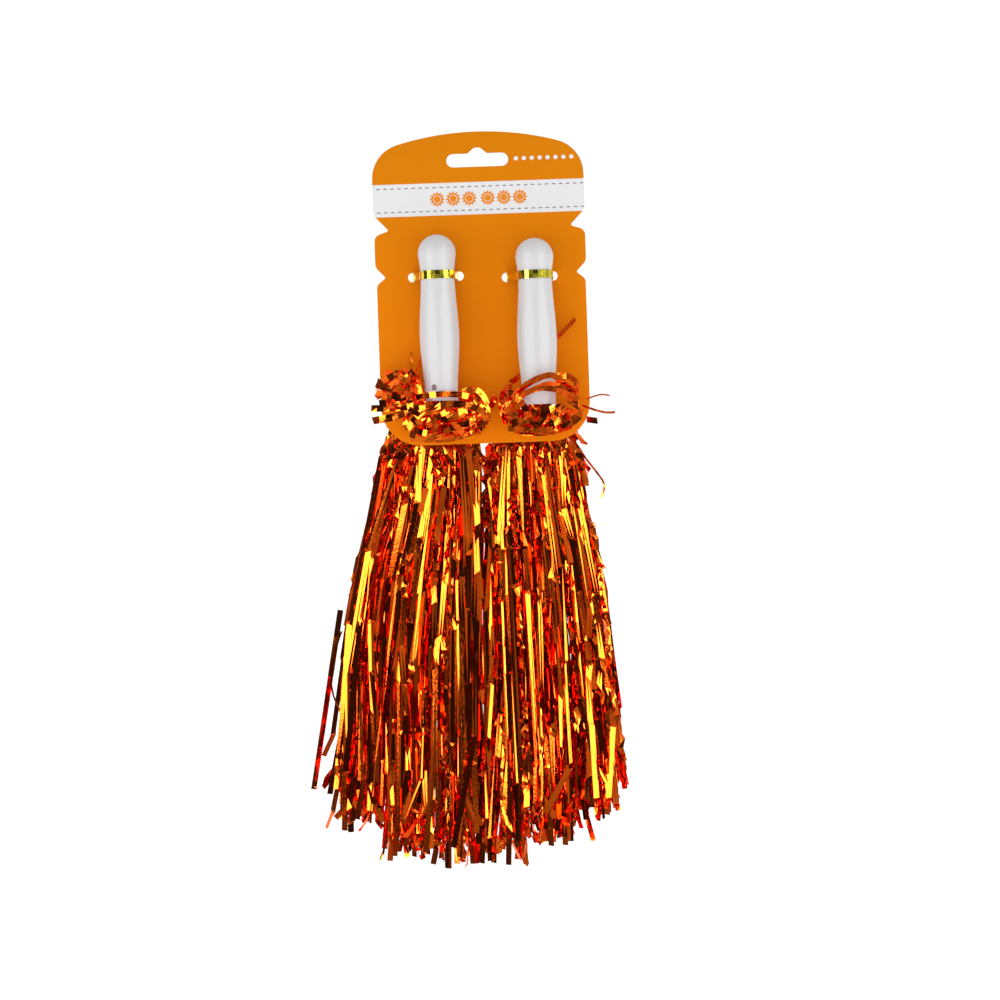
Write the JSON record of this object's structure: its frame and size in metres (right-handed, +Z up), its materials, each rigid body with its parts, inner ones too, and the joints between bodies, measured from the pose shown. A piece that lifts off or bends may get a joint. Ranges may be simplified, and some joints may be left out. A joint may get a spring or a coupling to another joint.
{
  "type": "carded pair of cheer pom poms",
  "caption": "Pair of foil cheer pom poms with white baton handles, wire-tied to an orange hanging card, the fringe hanging from behind the card.",
  "frame": {"origin": "centre of the card's hanging slot, in the middle of the card's thickness", "axes": "+Z up along the card, -Y out of the card's printed front, +X to the right seen from the front"},
  "size_m": [0.164, 0.0535, 0.3818],
  "materials": {
    "printed_card": "satin",
    "white_plastic": "satin",
    "gold_tie_film": "polished",
    "pin_steel": "satin",
    "orange_foil": "polished"
  },
  "bodies": {
    "card": {"backing_card": "printed_card", "left_twist_tie": "gold_tie_film", "right_twist_tie": "gold_tie_film", "left_foil_neck": "orange_foil", "right_foil_neck": "orange_foil", "left_front_tuft": "orange_foil", "right_front_tuft": "orange_foil"},
    "left_handle_set": {"left_handle": "white_plastic", "left_retaining_pin": "pin_steel", "left_foil_header": "orange_foil"},
    "right_handle_set": {"right_handle": "white_plastic", "right_retaining_pin": "pin_steel", "right_foil_header": "orange_foil"},
    "left_fringe_head": {"left_fringe_top": "orange_foil"},
    "right_fringe_head": {"right_fringe_top": "orange_foil"},
    "left_outer_lock": {"left_fringe_outer": "orange_foil", "left_stray_strip": "orange_foil"},
    "left_middle_lock": {"left_fringe_middle": "orange_foil"},
    "left_inner_lock": {"left_fringe_inner": "orange_foil"},
    "right_outer_lock": {"right_fringe_outer": "orange_foil"},
    "right_middle_lock": {"right_fringe_middle": "orange_foil"},
    "right_inner_lock": {"right_fringe_inner": "orange_foil"}
  },
  "joints": [
    {"name": "left_handle_turn", "type": "hinge", "parent": "card", "child": "left_handle_set", "pos_m": [-0.0224, -0.01075, -0.1246], "axis": [0, 0, 1], "range_deg": [-45, 45]},
    {"name": "right_handle_turn", "type": "hinge", "parent": "card", "child": "right_handle_set", "pos_m": [0.0277, -0.01075, -0.128], "axis": [0, 0, 1], "range_deg": [-45, 45]},
    {"name": "left_fringe_sway", "type": "hinge", "parent": "card", "child": "left_fringe_head", "pos_m": [-0.0224, 0, -0.1301], "axis": [0, 1, 0], "range_deg": [0, 12]},
    {"name": "right_fringe_sway", "type": "hinge", "parent": "card", "child": "right_fringe_head", "pos_m": [0.0277, 0, -0.1335], "axis": [0, -1, 0], "range_deg": [0, 12]},
    {"name": "left_outer_swing", "type": "hinge", "parent": "left_fringe_head", "child": "left_outer_lock", "pos_m": [-0.0224, 0.0125, -0.153], "axis": [-1, 0, 0], "range_deg": [-60, 60]},
    {"name": "left_middle_swing", "type": "hinge", "parent": "left_fringe_head", "child": "left_middle_lock", "pos_m": [-0.0224, 0.0125, -0.153], "axis": [-1, 0, 0], "range_deg": [-60, 60]},
    {"name": "left_inner_swing", "type": "hinge", "parent": "left_fringe_head", "child": "left_inner_lock", "pos_m": [-0.0224, 0.0125, -0.153], "axis": [-1, 0, 0], "range_deg": [-60, 60]},
    {"name": "right_inner_swing", "type": "hinge", "parent": "right_fringe_head", "child": "right_inner_lock", "pos_m": [0.0277, 0.0125, -0.153], "axis": [-1, 0, 0], "range_deg": [-60, 60]},
    {"name": "right_middle_swing", "type": "hinge", "parent": "right_fringe_head", "child": "right_middle_lock", "pos_m": [0.0277, 0.0125, -0.153], "axis": [-1, 0, 0], "range_deg": [-60, 60]},
    {"name": "right_outer_swing", "type": "hinge", "parent": "right_fringe_head", "child": "right_outer_lock", "pos_m": [0.0277, 0.0125, -0.153], "axis": [-1, 0, 0], "range_deg": [-60, 60]}
  ]
}
